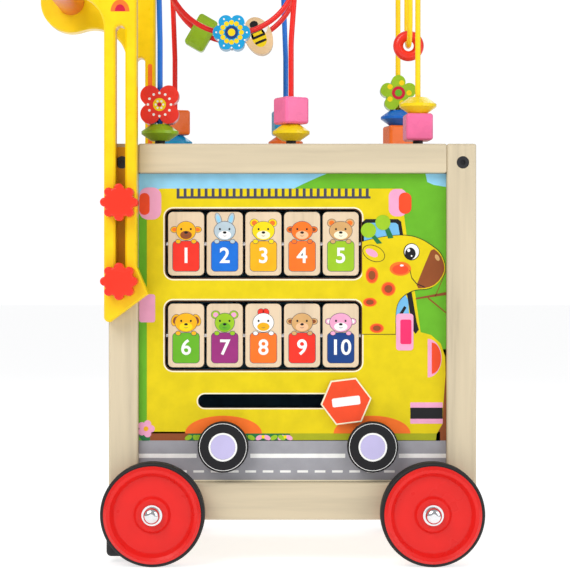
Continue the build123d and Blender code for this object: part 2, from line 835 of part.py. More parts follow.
def coil_point(turned):
    """A corner of the coil's polygon, after turning this many degrees from its left side."""
    half_turns, rest = divmod(turned, 180)
    lane_start = coil_lanes[int(half_turns)]
    lane_end = coil_lanes[int(half_turns) + 1]
    share = (1 - cos(radians(rest))) / 2
    return (
        coil_x - coil_corner_radius * cos(radians(turned)),
        lane_start + share * (lane_end - lane_start),
        coil_center_z + coil_corner_radius * sin(radians(turned)),
    )


with BuildPart() as red_wire:
    with BuildLine() as red_path:
        coil_points = [
            coil_point(coil_step * (corner + 0.5))
            for corner in range(int(coil_turns * coil_corners_per_turn))
        ]
        FilletPolyline(
            (*red_far, wire_foot_z),
            (*red_far, upright_top),
            *coil_points,
            (*red_near, upright_top),
            (*red_near, wire_foot_z),
            radius=[upright_bend_round] + [coil_bend] * len(coil_points) + [upright_bend_round],
        )
    sweep_wire(red_path.line)
red_wire.part.label = "red_wire"
export_step(red_wire.part, "parts/red_wire.step")

yellow_top = box_top + yellow_top_rise
yellow_dip = box_top + yellow_dip_rise
yellow_dip_x = box_x + inner_length / 2 - yellow_dip_inset
arch_round = (wire_row_y - yellow_inner_y) / 2 - bend_spare
dip_round = yellow_inner_y - bend_spare

with BuildPart() as yellow_wire:
    with BuildLine() as yellow_path:
        FilletPolyline(
            (*yellow_near, wire_foot_z),
            (*yellow_near, yellow_top),
            (yellow_dip_x, -yellow_inner_y, yellow_top),
            (yellow_dip_x, -yellow_inner_y, yellow_dip),
            (yellow_dip_x, yellow_inner_y, yellow_dip),
            (yellow_dip_x, yellow_inner_y, yellow_top),
            (*yellow_far, yellow_top),
            (*yellow_far, wire_foot_z),
            radius=[arch_round, arch_round, dip_round, dip_round, arch_round, arch_round],
        )
    sweep_wire(yellow_path.line)
yellow_wire.part.label = "yellow_wire"
export_step(yellow_wire.part, "parts/yellow_wire.step")

# ---------------------------------------------------------------- beads

flower_radius = flower_size / 2


def add_disc_bead(x, y, base_z):
    """A double-cone disc bead, threaded on an upright wire."""
    rim_low = (disc_bead_height - disc_bead_rim) / 2
    with BuildSketch(Plane(origin=(x, y, base_z), x_dir=(1, 0, 0), z_dir=(0, -1, 0))) as profile:
        with BuildLine():
            Polyline(
                (bead_bore / 2, 0),
                (disc_bead_end_radius, 0),
                (disc_bead_radius, rim_low),
                (disc_bead_radius, rim_low + disc_bead_rim),
                (disc_bead_end_radius, disc_bead_height),
                (bead_bore / 2, disc_bead_height),
                close=True,
            )
        make_face()
    revolve(profile.sketch, axis=Axis((x, y, base_z), (0, 0, 1)))


def add_cube_bead(bead, x, y, base_z, turn):
    """A rounded cube bead, turned about the upright wire that it is threaded on."""
    with Locations(Location((x, y, base_z + cube_bead_size / 2), (0, 0, turn))):
        Box(cube_bead_size, cube_bead_size, cube_bead_size)
    fillet(bead.edges(Select.LAST), cube_bead_round)
    with Locations((x, y, base_z + cube_bead_size / 2)):
        Cylinder(bead_bore / 2, cube_bead_size, mode=Mode.SUBTRACT)


def add_flower_bead(x, y, base_z, petals, turn):
    """A flat flower bead that faces the tile side, threaded through its height."""
    petal_angles = [radians(turn + 360 * petal / petals) for petal in range(petals)]
    widest_petal = max(cos(angle) for angle in petal_angles)
    lowest_petal = max(-sin(angle) for angle in petal_angles)
    petal_share = sin(pi / petals) * petal_plumpness
    petal_spread = flower_radius / (widest_petal + petal_share)
    petal_radius = petal_spread * petal_share
    middle_z = base_z + petal_radius + petal_spread * lowest_petal
    with BuildSketch(upright_plane(y)) as outline:
        with Locations((x, middle_z)):
            Circle(petal_spread)
            with PolarLocations(petal_spread, petals, start_angle=turn):
                Circle(petal_radius)
    extrude(outline.sketch, amount=flower_thickness / 2, both=True)
    with Locations((x, y, middle_z)):
        Cylinder(bead_bore / 2, flower_size * 1.2, mode=Mode.SUBTRACT)


on_disc_z = bead_floor + disc_bead_height + bead_gap
on_cube_z = bead_floor + cube_bead_size + bead_gap

with BuildPart() as green_disc:
    add_disc_bead(*blue_near, bead_floor)
green_disc.part.label = "green_disc"
export_step(green_disc.part, "parts/green_disc.step")

with BuildPart() as red_flower:
    add_flower_bead(*blue_near, on_disc_z, 4, 45)
red_flower.part.label = "red_flower"
export_step(red_flower.part, "parts/red_flower.step")

with BuildPart() as red_wire_far_beads:
    add_disc_bead(*red_far, bead_floor)
    add_cube_bead(red_wire_far_beads, *red_far, on_disc_z, 20)
red_wire_far_beads.part.label = "red_wire_far_beads"
export_step(red_wire_far_beads.part, "parts/red_wire_far_beads.step")

with BuildPart() as yellow_disc:
    add_disc_bead(*red_near, bead_floor)
yellow_disc.part.label = "yellow_disc"
export_step(yellow_disc.part, "parts/yellow_disc.step")

with BuildPart() as pink_cube:
    add_cube_bead(pink_cube, *red_near, on_disc_z, 30)
pink_cube.part.label = "pink_cube"
export_step(pink_cube.part, "parts/pink_cube.step")

with BuildPart() as blue_wire_far_beads:
    add_disc_bead(*blue_far, bead_floor)
    add_cube_bead(blue_wire_far_beads, *blue_far, on_disc_z, 10)
blue_wire_far_beads.part.label = "blue_wire_far_beads"
export_step(blue_wire_far_beads.part, "parts/blue_wire_far_beads.step")

with BuildPart() as front_pink_cube:
    add_cube_bead(front_pink_cube, *yellow_near, bead_floor, 5)
front_pink_cube.part.label = "front_pink_cube"
export_step(front_pink_cube.part, "parts/front_pink_cube.step")

with BuildPart() as front_yellow_disc:
    add_disc_bead(*yellow_near, on_cube_z)
front_yellow_disc.part.label = "front_yellow_disc"
export_step(front_yellow_disc.part, "parts/front_yellow_disc.step")

with BuildPart() as yellow_wire_far_beads:
    add_cube_bead(yellow_wire_far_beads, *yellow_far, bead_floor, 15)
    add_disc_bead(*yellow_far, on_cube_z)
    add_flower_bead(*yellow_far, on_cube_z + disc_bead_height + bead_gap, 5, 90)
yellow_wire_far_beads.part.label = "yellow_wire_far_beads"
export_step(yellow_wire_far_beads.part, "parts/yellow_wire_far_beads.step")


def cut_coil_bore(lane_y):
    """Cut the curved bore of a bead that follows the coil."""
    with Locations(Location((coil_x, lane_y, coil_center_z), (90, 0, 0))):
        Torus(coil_radius, coil_bore_radius, mode=Mode.SUBTRACT)


def coil_plane(lane_y, angle):
    """The upright plane on the coil's lowest part, at this angle from its bottom."""
    return Plane(
        origin=(
            coil_x + coil_radius * sin(radians(angle)),
            lane_y,
            coil_center_z - coil_radius * cos(radians(angle)),
        ),
        x_dir=(cos(radians(angle)), 0, sin(radians(angle))),
        z_dir=(0, -1, 0),
    )


with BuildPart() as blue_flower:
    with BuildSketch(coil_plane(-coil_lane_y, 0)):
        Circle(flower_radius - blue_flower_petal_radius)
        with PolarLocations(flower_radius - blue_flower_petal_radius, blue_flower_petals):
            Circle(blue_flower_petal_radius)
    extrude(amount=flower_thickness / 2, both=True)
    cut_coil_bore(-coil_lane_y)
blue_flower.part.label = "blue_flower"
export_step(blue_flower.part, "parts/blue_flower.step")

with BuildPart() as coil_far_beads:
    with BuildSketch(coil_plane(coil_lane_y, green_bead_angle)):
        RectangleRounded(green_bead_length, green_bead_height, green_bead_round)
    extrude(amount=green_bead_thickness / 2, both=True)
    chamfer(coil_far_beads.faces().filter_by(Axis.Y).edges(), green_bead_facet)
    with BuildSketch(coil_plane(coil_lane_y, bee_bead_angle)):
        Ellipse(bee_bead_length / 2, bee_bead_height / 2)
    extrude(amount=bee_bead_thickness / 2, both=True)
    cut_coil_bore(coil_lane_y)
coil_far_beads.part.label = "coil_far_beads"
export_step(coil_far_beads.part, "parts/coil_far_beads.step")

with BuildPart() as red_ring:
    with Locations(Location((yellow_dip_x, 0, yellow_dip), (90, 0, 0))):
        Torus((ring_bead_radius + ring_bead_bore_radius) / 2, (ring_bead_radius - ring_bead_bore_radius) / 2)
red_ring.part.label = "red_ring"
export_step(red_ring.part, "parts/red_ring.step")
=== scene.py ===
import json
from math import cos, pi, radians, sin

import bmesh
import bpy
from mathutils import Matrix, Vector


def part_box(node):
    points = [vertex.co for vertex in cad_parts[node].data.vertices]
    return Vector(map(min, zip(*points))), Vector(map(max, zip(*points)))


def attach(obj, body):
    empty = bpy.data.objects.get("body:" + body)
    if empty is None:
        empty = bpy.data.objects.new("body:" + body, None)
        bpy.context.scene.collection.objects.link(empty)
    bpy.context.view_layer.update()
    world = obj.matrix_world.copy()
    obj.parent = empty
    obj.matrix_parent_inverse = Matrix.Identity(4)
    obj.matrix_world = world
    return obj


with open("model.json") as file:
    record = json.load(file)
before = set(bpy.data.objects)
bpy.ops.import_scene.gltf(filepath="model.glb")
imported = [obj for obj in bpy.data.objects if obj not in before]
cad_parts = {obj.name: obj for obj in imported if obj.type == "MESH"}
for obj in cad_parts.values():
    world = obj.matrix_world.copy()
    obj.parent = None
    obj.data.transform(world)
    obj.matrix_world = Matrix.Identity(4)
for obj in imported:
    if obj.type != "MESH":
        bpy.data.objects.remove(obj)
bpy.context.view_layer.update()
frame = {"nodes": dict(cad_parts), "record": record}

nodes = frame["nodes"]
bodyOf = {n: b for b, names in frame["record"]["behaviour"]["bodies"].items() for n in names}
mm = 0.001  # every outline below is drawn in millimetres
panelLow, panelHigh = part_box("activity_panel")
middleX = (panelLow.x + panelHigh.x) / 2  # the box frame's middle, which all art is drawn from
print("frame loaded:", len(nodes), "nodes")

# finishes: every one is built from noise at its own real scale

woodGrain = {"across": 260.0, "along": 14.0, "bump": 0.10, "roughness": 0.42}
paintCoat = {"mottle": 90.0, "bump": 0.05, "roughness": 0.30}
plasticSkin = {"mottle": 700.0, "bump": 0.03, "roughness": 0.24}


def newMaterial(name, roughness, metallic=0.0, coat=0.0):
    material = bpy.data.materials.new(name)
    material.use_nodes = True
    shader = material.node_tree.nodes["Principled BSDF"]
    shader.inputs["Roughness"].default_value = roughness
    shader.inputs["Metallic"].default_value = metallic
    shader.inputs["Coat Weight"].default_value = coat
    shader.inputs["Coat Roughness"].default_value = 0.12
    return material, material.node_tree, shader


def addNode(tree, kind, **settings):
    node = tree.nodes.new(kind)
    for key, value in settings.items():
        setattr(node, key, value)
    return node


def noiseAt(tree, scale, stretch=(1, 1, 1), detail=4.0, distortion=0.0):
    # object coordinates are metres in the shared frame, so scale is cycles per metre
    place = addNode(tree, "ShaderNodeTexCoord")
    mapping = addNode(tree, "ShaderNodeMapping")
    mapping.inputs["Scale"].default_value = stretch
    noise = addNode(tree, "ShaderNodeTexNoise")
    noise.inputs["Scale"].default_value = scale
    noise.inputs["Detail"].default_value = detail
    noise.inputs["Distortion"].default_value = distortion
    tree.links.new(place.outputs["Object"], mapping.inputs["Vector"])
    tree.links.new(mapping.outputs["Vector"], noise.inputs["Vector"])
    return noise


def rampOf(tree, source, stops):
    ramp = addNode(tree, "ShaderNodeValToRGB")
    while len(ramp.color_ramp.elements) < len(stops):
        ramp.color_ramp.elements.new(0.5)
    for element, (position, colour) in zip(ramp.color_ramp.elements, stops):
        element.position = position
        element.color = (*colour, 1)
    tree.links.new(source, ramp.inputs["Fac"])
    return ramp


def roughnessFrom(tree, shader, source, low, high):
    spread = addNode(tree, "ShaderNodeMapRange")
    spread.inputs["To Min"].default_value = low
    spread.inputs["To Max"].default_value = high
    tree.links.new(source, spread.inputs["Value"])
    tree.links.new(spread.outputs["Result"], shader.inputs["Roughness"])


def bumpFrom(tree, shader, source, strength, distance=0.0004):
    bump = addNode(tree, "ShaderNodeBump")
    bump.inputs["Strength"].default_value = strength
    bump.inputs["Distance"].default_value = distance
    tree.links.new(source, bump.inputs["Height"])
    tree.links.new(bump.outputs["Normal"], shader.inputs["Normal"])


def shade(colour, factor):
    return tuple(min(1.0, c * factor) for c in colour)


def woodMaterial(name, colour, along="z", contrast=0.12):
    material, tree, shader = newMaterial(name, woodGrain["roughness"], coat=0.15)
    ratio = woodGrain["along"] / woodGrain["across"]
    stretch = {"x": (ratio, 1, 1), "y": (1, ratio, 1), "z": (1, 1, ratio)}[along]
    grain = noiseAt(tree, woodGrain["across"], stretch, 6.0, 0.6)
    figure = noiseAt(tree, woodGrain["across"] * 0.12, stretch, 3.0, 1.2)
    mix = addNode(tree, "ShaderNodeMath", operation="MULTIPLY_ADD")
    mix.inputs[1].default_value = 0.45
    tree.links.new(grain.outputs["Fac"], mix.inputs[0])
    tree.links.new(figure.outputs["Fac"], mix.inputs[2])
    stops = [(0.45, shade(colour, 1 - contrast * 1.6)), (0.62, colour), (0.85, shade(colour, 1 + contrast))]
    ramp = rampOf(tree, mix.outputs["Value"], stops)
    tree.links.new(ramp.outputs["Color"], shader.inputs["Base Color"])
    roughnessFrom(tree, shader, grain.outputs["Fac"], 0.36, 0.52)
    bumpFrom(tree, shader, grain.outputs["Fac"], woodGrain["bump"])
    return material


def paintMaterial(name, colour, roughness=None, grain="z", coat=0.30):
    # paint over wood: a little grain telegraphs through the coat
    base = paintCoat["roughness"] if roughness is None else roughness
    material, tree, shader = newMaterial(name, base, coat=coat)
    shader.inputs["Specular IOR Level"].default_value = 0.18
    stretch = {"x": (0.08, 1, 1), "y": (1, 0.08, 1), "z": (1, 1, 0.08)}[grain]
    mottle = noiseAt(tree, paintCoat["mottle"], (1, 1, 1), 3.0)
    fibre = noiseAt(tree, 420.0, stretch, 4.0)
    ramp = rampOf(tree, mottle.outputs["Fac"], [(0.3, shade(colour, 0.93)), (0.7, shade(colour, 1.04))])
    tree.links.new(ramp.outputs["Color"], shader.inputs["Base Color"])
    roughnessFrom(tree, shader, mottle.outputs["Fac"], base - 0.06, base + 0.10)
    bumpFrom(tree, shader, fibre.outputs["Fac"], paintCoat["bump"], 0.0003)
    return material


def plasticMaterial(name, colour, roughness=None, bumpStrength=None):
    base = plasticSkin["roughness"] if roughness is None else roughness
    material, tree, shader = newMaterial(name, base)
    shader.inputs["Specular IOR Level"].default_value = 0.28
    skin = noiseAt(tree, plasticSkin["mottle"], (1, 1, 1), 3.0)
    cloud = noiseAt(tree, 40.0, (1, 1, 1), 2.0)
    ramp = rampOf(tree, cloud.outputs["Fac"], [(0.3, shade(colour, 0.94)), (0.7, shade(colour, 1.03))])
    tree.links.new(ramp.outputs["Color"], shader.inputs["Base Color"])
    roughnessFrom(tree, shader, cloud.outputs["Fac"], base - 0.05, base + 0.10)
    bumpFrom(tree, shader, skin.outputs["Fac"], bumpStrength or plasticSkin["bump"], 0.0002)
    return material


def metalMaterial(name, colour, roughness, along="y"):
    material, tree, shader = newMaterial(name, roughness, metallic=1.0)
    stretch = {"x": (0.03, 1, 1), "y": (1, 0.03, 1), "z": (1, 1, 0.03)}[along]
    draw = noiseAt(tree, 1500.0, stretch, 3.0)
    wear = noiseAt(tree, 120.0, (1, 1, 1), 4.0)
    ramp = rampOf(tree, wear.outputs["Fac"], [(0.3, shade(colour, 0.85)), (0.7, colour)])
    tree.links.new(ramp.outputs["Color"], shader.inputs["Base Color"])
    roughnessFrom(tree, shader, wear.outputs["Fac"], roughness, roughness + 0.14)
    bumpFrom(tree, shader, draw.outputs["Fac"], 0.05, 0.0001)
    return material


# colours, as linear light

palette = {
    "red": (0.80, 0.035, 0.02), "crimson": (0.55, 0.01, 0.04), "pink": (0.86, 0.16, 0.36),
    "orange": (0.90, 0.17, 0.02), "amber": (0.82, 0.42, 0.01), "yellow": (0.86, 0.64, 0.008),
    "busYellow": (0.70, 0.55, 0.004), "scarlet": (0.80, 0.07, 0.02), "yellowGreen": (0.36, 0.38, 0.01),
    "cream": (0.88, 0.80, 0.58), "white": (0.86, 0.86, 0.84), "sky": (0.26, 0.58, 0.80),
    "glass": (0.16, 0.45, 0.72), "blue": (0.01, 0.15, 0.62), "navy": (0.01, 0.05, 0.22),
    "green": (0.13, 0.42, 0.02), "leaf": (0.30, 0.52, 0.02), "darkGreen": (0.02, 0.17, 0.05),
    "plum": (0.30, 0.03, 0.18), "magenta": (0.80, 0.03, 0.14), "lavender": (0.55, 0.50, 0.74),
    "rose": (0.80, 0.36, 0.55),
    "brown": (0.26, 0.07, 0.02), "tan": (0.62, 0.36, 0.14), "peach": (0.88, 0.50, 0.28),
    "blueGrey": (0.42, 0.52, 0.58), "slate": (0.06, 0.06, 0.09), "road": (0.33, 0.33, 0.36),
    # the dark brown on the next line is painted shade, used for the window rings and the activity panel's
    # hole walls
    "black": (0.012, 0.012, 0.014), "darkWood": (0.10, 0.045, 0.02), "cyan": (0.01, 0.34, 0.68),
}
inks = {  # thin printed colour
    name: paintMaterial("ink" + name[0].upper() + name[1:], colour, 0.42, coat=0.03)
    for name, colour in palette.items()
}
glossy = {  # thick bead paint
    name: paintMaterial("bead" + name[0].upper() + name[1:], palette[name], 0.26)
    for name in ("red", "orange", "yellow", "pink", "cyan", "blue", "leaf", "green")
}
birch = (0.55, 0.465, 0.32)
finishes = {
    "uprightBirch": woodMaterial("uprightBirch", birch, "z"),
    "lengthBirch": woodMaterial("lengthBirch", birch, "x"),
    "tileBirch": woodMaterial("tileBirch", (0.64, 0.50, 0.34), "z", 0.12),
    "beadBirch": woodMaterial("beadBirch", (0.72, 0.52, 0.29), "x", 0.14),
    "wheelRed": plasticMaterial("wheelRed", (0.72, 0.015, 0.012), 0.26),
    "knobRed": plasticMaterial("knobRed", (0.86, 0.035, 0.015), 0.24),
    "tyreRubber": plasticMaterial("tyreRubber", (0.018, 0.018, 0.019), 0.62, 0.25),
    "footRubber": plasticMaterial("footRubber", (0.022, 0.022, 0.024), 0.58, 0.22),
    "matBlack": plasticMaterial("matBlack", (0.015, 0.015, 0.017), 0.40),
    "hubLavender": plasticMaterial("hubLavender", (0.50, 0.46, 0.72), 0.32),
    "chrome": metalMaterial("chrome", (0.80, 0.81, 0.83), 0.08),
    "drawnSteel": metalMaterial("drawnSteel", (0.58, 0.58, 0.60), 0.24, "x"),
    "boltBlack": metalMaterial("boltBlack", (0.06, 0.06, 0.065), 0.34),
    "wireBlue": plasticMaterial("wireBlue", (0.02, 0.17, 0.68), 0.20),
    "wireRed": plasticMaterial("wireRed", (0.75, 0.02, 0.015), 0.20),
    "wireYellow": plasticMaterial("wireYellow", (0.93, 0.62, 0.01), 0.20),
    "boardYellow": paintMaterial("boardYellow", (0.88, 0.60, 0.004), 0.28),
    "barOrange": paintMaterial("barOrange", (0.72, 0.10, 0.015), 0.30, "y"),
}

# CAD nodes keep their shape and take their finish here

nodeFinish = {
    "frame_posts": finishes["uprightBirch"], "top_rails": finishes["lengthBirch"],
    "bottom_rails": finishes["lengthBirch"], "top_board": finishes["lengthBirch"],
    # painted shade: the activity panel's body is dark brown so that its hole walls and inner face read as
    # shaded
    "bottom_board": finishes["lengthBirch"], "activity_panel": inks["darkWood"],
    "far_panel": inks["sky"], "end_panels": inks["sky"], "frame_bolts": finishes["boltBlack"],
    "rear_feet": finishes["footRubber"], "axles": finishes["drawnSteel"],
    "axle_fasteners": finishes["chrome"], "tile_rods": finishes["drawnSteel"],
    "small_wheel_pins": finishes["hubLavender"], "knob_bolts": finishes["drawnSteel"],
    "wire_ferrules": finishes["matBlack"], "blue_wire": finishes["wireBlue"],
    "red_wire": finishes["wireRed"], "yellow_wire": finishes["wireYellow"],
    "handle_board_near": finishes["boardYellow"], "handle_board_far": finishes["boardYellow"],
    "push_bar": finishes["barOrange"], "sign_carrier": finishes["matBlack"],
    "turning_sign": inks["cream"], "rear_small_wheel": inks["black"],
    "front_small_wheel": inks["black"], "green_disc": glossy["leaf"], "red_flower": glossy["red"],
    "yellow_disc": glossy["yellow"], "pink_cube": glossy["pink"], "front_pink_cube": glossy["pink"],
    "front_yellow_disc": glossy["yellow"], "blue_flower": glossy["cyan"], "red_ring": glossy["red"],
}
stackFinish = {  # groups of beads on one body: the solid's height or side picks its paint
    "red_wire_far_beads": [("z", 0.361, glossy["cyan"], glossy["orange"])],
    "blue_wire_far_beads": [("z", 0.361, glossy["orange"], glossy["cyan"])],
    "yellow_wire_far_beads": [
        ("z", 0.370, glossy["orange"], glossy["blue"]),
        ("z", 0.3836, None, glossy["leaf"]),
    ],
    "coil_far_beads": [("x", middleX - 0.056, glossy["leaf"], finishes["beadBirch"])],
}
for name in nodes:
    if name.endswith("_tyre"):
        nodeFinish[name] = finishes["tyreRubber"]
    elif name.endswith("_knob"):
        nodeFinish[name] = finishes["knobRed"]
    elif name.startswith("number_tile"):
        nodeFinish[name] = finishes["tileBirch"]
    elif name.endswith("_wheel") and "small" not in name:
        nodeFinish[name] = finishes["wheelRed"]
for name, material in nodeFinish.items():
    nodes[name].data.materials.clear()
    nodes[name].data.materials.append(material)
for name, rules in stackFinish.items():
    mesh = nodes[name].data
    mesh.materials.clear()
    paints = [rules[0][2]] + [rule[3] for rule in rules]
    for paint in paints:
        mesh.materials.append(paint)
    for face in mesh.polygons:
        for index, (axis, level, low, high) in enumerate(rules):
            if getattr(face.center, axis) > level:
                face.material_index = index + 1
print("CAD nodes finished")

# flat art: thin closed plates laid on a face, one small step above another

inkStep = 0.055 * mm  # thickness of one printed layer


def circleOutline(x, z, rx, rz=None, turn=0.0, count=36, start=0.0, end=360.0):
    rz = rx if rz is None else rz
    whole = end - start >= 360
    steps = count if whole else count + 1
    points = []
    for i in range(steps):
        a = radians(start + (end - start) * i / count)
        u, v = rx * cos(a), rz * sin(a)
        t = radians(turn)
        points.append((x + u * cos(t) - v * sin(t), z + u * sin(t) + v * cos(t)))
    return points


def roundOutline(x0, z0, x1, z1, r, turn=0.0, count=6):
    points = []
    corners = ((x1 - r, z1 - r, 0), (x0 + r, z1 - r, 90), (x0 + r, z0 + r, 180), (x1 - r, z0 + r, 270))
    for cx, cz, start in corners:
        points += circleOutline(cx, cz, r, count=count, start=start, end=start + 89.9)
    mx, mz, t = (x0 + x1) / 2, (z0 + z1) / 2, radians(turn)
    c, s = cos(t), sin(t)
    return [(mx + (x - mx) * c - (z - mz) * s, mz + (x - mx) * s + (z - mz) * c) for x, z in points]


def smoothOutline(points, rounds=2):
    for _ in range(rounds):  # corner cutting turns a few points into a soft outline
        cut = []
        for (ax, az), (bx, bz) in zip(points, points[1:] + points[:1]):
            cut.append((ax * 0.75 + bx * 0.25, az * 0.75 + bz * 0.25))
            cut.append((ax * 0.25 + bx * 0.75, az * 0.25 + bz * 0.75))
        points = cut
    return points


def nearFace(y):
    return lambda u, v, d: Vector((middleX + u * mm, y - d, v * mm))


def farFace(y):
    return lambda u, v, d: Vector((middleX - u * mm, y + d, v * mm))


def finishMesh(name, bm, ink, body):
    bmesh.ops.recalc_face_normals(bm, faces=bm.faces)
    mesh = bpy.data.meshes.new(name)
    bm.to_mesh(mesh)
    bm.free()
    piece = bpy.data.objects.new(name, mesh)
    bpy.context.scene.collection.objects.link(piece)
    mesh.materials.append(inks[ink] if ink in inks else finishes[ink])
    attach(piece, body)
    return piece


def addPlate(bm, outline, face, layer, holes=()):
    # sides of the outline and of each hole, then both faces filled as one triangulated sheet
    low, high = -0.05 * mm, layer * inkStep
    for depth in (low, high):
        edges = []
        for ring in (outline, *holes):
            corners = [bm.verts.new(face(u, v, depth)) for u, v in ring]
            edges += [bm.edges.new(pair) for pair in zip(corners, corners[1:] + corners[:1])]
        bmesh.ops.triangle_fill(bm, edges=edges, use_beauty=True)
        if depth == low:
            lowEdges = edges
    for a, b in zip(lowEdges, edges):
        bm.faces.new((a.verts[0], a.verts[1], b.verts[1], b.verts[0]))


class Art:
    # gathers plates by ink for one body, so that each ink is one piece
    def __init__(self, name, face, body, slotName):
        self.name, self.face, self.body, self.slotName, self.meshes = name, face, body, slotName, {}

    def plate(self, ink, layer, outline, holes=()):
        bm = self.meshes.setdefault(ink, bmesh.new())
        addPlate(bm, outline, self.face, layer, holes)

    def build(self):
        for ink, bm in self.meshes.items():
            finishMesh(self.name + ink[0].upper() + ink[1:], bm, ink, self.body)


def mapped(outline, place):
    return [place(u, v) for u, v in outline]


def scaledAt(x, z, size, turn=0.0):
    c, s = cos(radians(turn)) * size, sin(radians(turn)) * size
    return lambda u, v: (x + u * c - v * s, z + u * s + v * c)


# picture on the tile side: a bus on a road, hills, lamps and a long-necked driver
# sizes are millimetres from the box frame's middle and from the floor

panelEdge = {"left": -125.8, "right": 125.8, "bottom": 65.8, "top": 317.8}
# the dark line round each window is painted shade of the hole's wall
windowLook = {"boxes": [(-103.8, 232.4, 56.2, 288.4), (-103.8, 157.2, 56.2, 213.2)], "round": 6.0,
              "darkLine": 0.9, "creamLine": 2.0}
slotLook = {"box": (-77.4, 125.85, 50.0, 137.15), "round": 5.6,
            "surround": (-78.5, 124.8, 51.1, 138.2), "surroundRound": 6.7}
pictureWheel = {"x": (-56.5, 65.2), "z": 94.9, "hole": 7.2, "archHalf": 31.5, "archRise": 14.5,
                "archZ": 105.0}
road = {"top": 99.2, "line": (84.9, 88.4), "lineParts": ((-125.8, -78.5), (-34.6, 43.3), (87.1, 125.8)),
        "dash": (72.9, 74.8), "dashLength": 8.8, "dashPitch": 14.2, "dashes": 18}
verge = {"top": 106.4, "leafZ": 101.6, "leafLength": 3.2, "leafWidth": 1.9, "blossomZ": 102.2}
comb = {"left": -94.9, "right": 64.0, "rail": (297.4, 299.3), "tooth": (298.5, 305.6), "toothWidth": 2.4,
        "pitch": 5.74, "teeth": 28}
blossom = {"x": -120, "z": 108.8, "spread": 4.2, "petal": 3.0, "heart": 2.0, "petals": 5}

panelFace = nearFace(panelLow.y)
picture = Art("picture", panelFace, "walker_frame", "printed_panel")
left, right, bottom, top = (panelEdge[side] for side in ("left", "right", "bottom", "top"))
windowHoles = [roundOutline(*window, windowLook["round"]) for window in windowLook["boxes"]]
slotHole = roundOutline(*slotLook["box"], slotLook["round"])
pinHoles = [circleOutline(x, pictureWheel["z"], pictureWheel["hole"]) for x in pictureWheel["x"]]
allHoles = windowHoles + [slotHole]


def grown(box, by):
    x0, z0, x1, z1 = box
    return (x0 - by, z0 - by, x1 + by, z1 + by)


# sky, hills and the verge
picture.plate("sky", 1, roundOutline(left, 296, right, top, 0.5))
hill = [(-2, 304), (8, 309), (20, 314.5), (28, top), (right, top), (right, 99), (100, 99), (80, 300)]
picture.plate("green", 2, hill)
picture.plate("sky", 3, [(109, top), (110.5, 311), (116, 308.6), (right, 307), (right, top)])
picture.plate("green", 2, [(left, 99), (left, 296), (-116, 296), (-116, 99)])
picture.plate("yellowGreen", 3, roundOutline(-2, 99, 121, verge["top"], 0.3), pinHoles[1:])
picture.plate("darkGreen", 3, roundOutline(-86, 99, -2, verge["top"], 0.3), pinHoles[:1])
bush = [(left, 99), (left, 113), (-119, 113), (-115, 104), (-115, 99)]
picture.plate("darkGreen", 3, smoothOutline(bush, 1))
picture.plate("brown", 4, roundOutline(-116.6, road["top"], -85.3, verge["top"], 0.4))
picture.plate("brown", 3, [(right, 165), (right, road["top"]), (117.5, road["top"]), (122.5, 140)])
picture.plate("yellowGreen", 2, [(right, 174), (right, 166), (122, 99), (100, 99), (100, 174)])
# the bus's side, cut out round the windows and the slot
busBody = [(-119.3, 105), (-119.3, 296), (-116, 303), (-108, 305.6), (90, 305.6), (91.5, 284), (93.6, 267),
           (100.2, 222), (105, 188), (113.6, 185.7), (121.5, 178.6), (125.2, 168), (125.4, 153), (123.4, 126),
           (123.1, 113), (121, 109.5), (118.4, 105)]
picture.plate("busYellow", 4, busBody, allHoles)
# road with its line and dashes
picture.plate("road", 3, roundOutline(left, bottom, right, road["top"], 0.3), pinHoles)
for x0, x1 in road["lineParts"]:
    picture.plate("white", 4, roundOutline(x0, road["line"][0], x1, road["line"][1], 0.2))
picture.plate("cream", 4, roundOutline(left, bottom, right, bottom + 1.1, 0.2))
for i in range(road["dashes"]):
    dashX = left + 2 + i * road["dashPitch"]
    dash = roundOutline(dashX, road["dash"][0], dashX + road["dashLength"], road["dash"][1], 0.3)
    picture.plate("white", 4, dash)
# roof rack comb
for i in range(comb["teeth"]):
    toothX = comb["left"] + i * comb["pitch"]
    tooth = roundOutline(toothX, comb["tooth"][0], toothX + comb["toothWidth"], comb["tooth"][1], 0.2)
    picture.plate("slate", 5, tooth)
picture.plate("slate", 6, roundOutline(comb["left"], comb["rail"][0], comb["right"], comb["rail"][1], 0.2))
# window and slot surrounds: a cream line, with a dark brown ring inside it round each window that is painted
# shade of the hole's wall
for window, hole in zip(windowLook["boxes"], windowHoles):
    outline, between = (
        roundOutline(*grown(window, windowLook[line]), windowLook["round"] + windowLook[line])
        for line in ("creamLine", "darkLine")
    )
    picture.plate("cream", 5, outline, [between])
    picture.plate("darkWood", 5, between, [hole])
picture.plate("cream", 5, roundOutline(*slotLook["surround"], slotLook["surroundRound"]), [slotHole])
# wheel arches over the two small wheels
for x in pictureWheel["x"]:
    archAt = (x, pictureWheel["archZ"], pictureWheel["archHalf"], pictureWheel["archRise"])
    picture.plate("orange", 6, circleOutline(*archAt, count=40, start=0, end=180))
# leaves and blossoms in the strip under the bus
for x, ink in ((-82, "leaf"), (-75, "leaf"), (-37, "leaf"), (-24, "rose"), (-12, "leaf"), (-6, "rose")):
    for u, layer in ((-3.2, 5), (3.2, 6)):
        leafAt = (x + u, verge["leafZ"], verge["leafLength"], verge["leafWidth"], -8 * u, 14)
        picture.plate(ink, layer, circleOutline(*leafAt))
    if ink == "rose":
        picture.plate("yellow", 7, circleOutline(x, verge["blossomZ"], 1.4, count=12))
